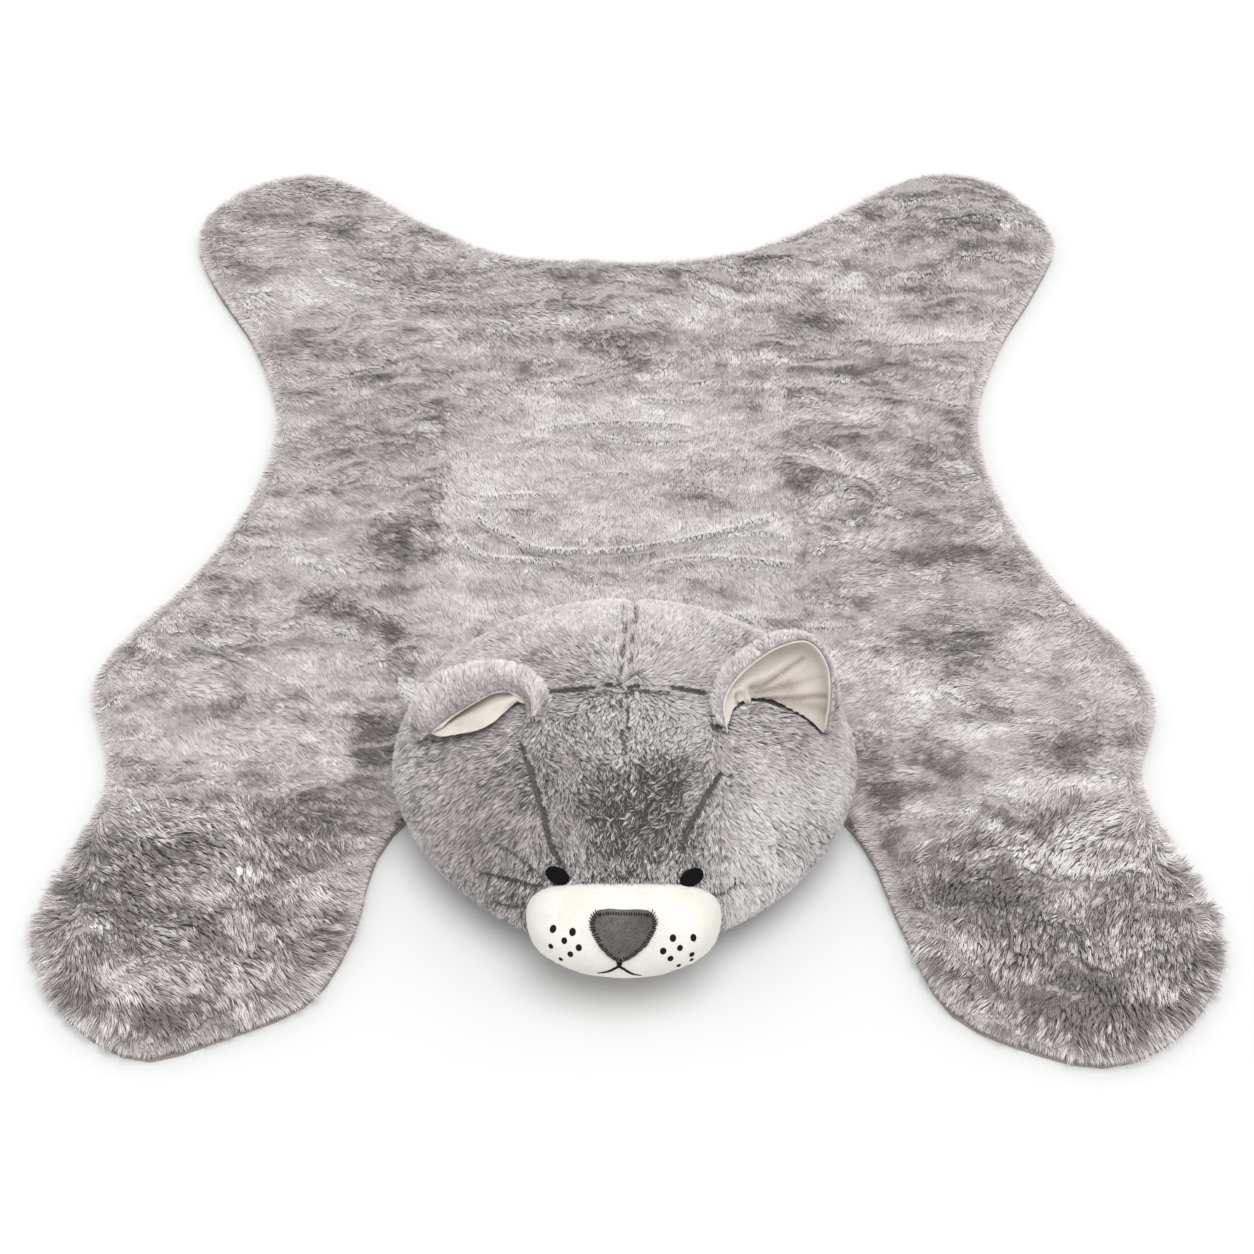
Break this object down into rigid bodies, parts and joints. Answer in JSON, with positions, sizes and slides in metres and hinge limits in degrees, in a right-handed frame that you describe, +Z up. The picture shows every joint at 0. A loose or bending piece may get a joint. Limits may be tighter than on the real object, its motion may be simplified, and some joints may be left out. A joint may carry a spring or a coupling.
{
  "type": "animal shaped kids rug",
  "caption": "Flat faux fur play rug in the outline of an animal lying on its belly, with broad paws, a stuffed head, lined ears, a bulging muzzle and a felt nose.",
  "frame": {"origin": "middle of the rug's outline, on the surface it lies on", "axes": "+X to the right of someone who looks at the face, +Y from the head to the hind paws, +Z up"},
  "size_m": [1.054, 1.1564, 0.1919],
  "materials": {
    "rug_fur": "soft grey faux fur",
    "backing_cloth": "plain woven backing",
    "head_fur": "short grey plush pile",
    "muzzle_plush": "brushed cream fleece",
    "nose_felt": "dark grey felt",
    "eye_thread": "black satin stitch",
    "ear_fur": "short grey plush pile",
    "ear_lining": "smooth cream fleece"
  },
  "bodies": {
    "root": {"rug_body": "rug_fur", "backing": "backing_cloth", "head": "head_fur", "muzzle": "muzzle_plush", "nose": "nose_felt", "eye_left": "eye_thread", "eye_right": "eye_thread", "ear_left_fur": "ear_fur", "ear_left_lining": "ear_lining", "ear_right_fur": "ear_fur", "ear_right_lining": "ear_lining"}
  },
  "joints": []
}
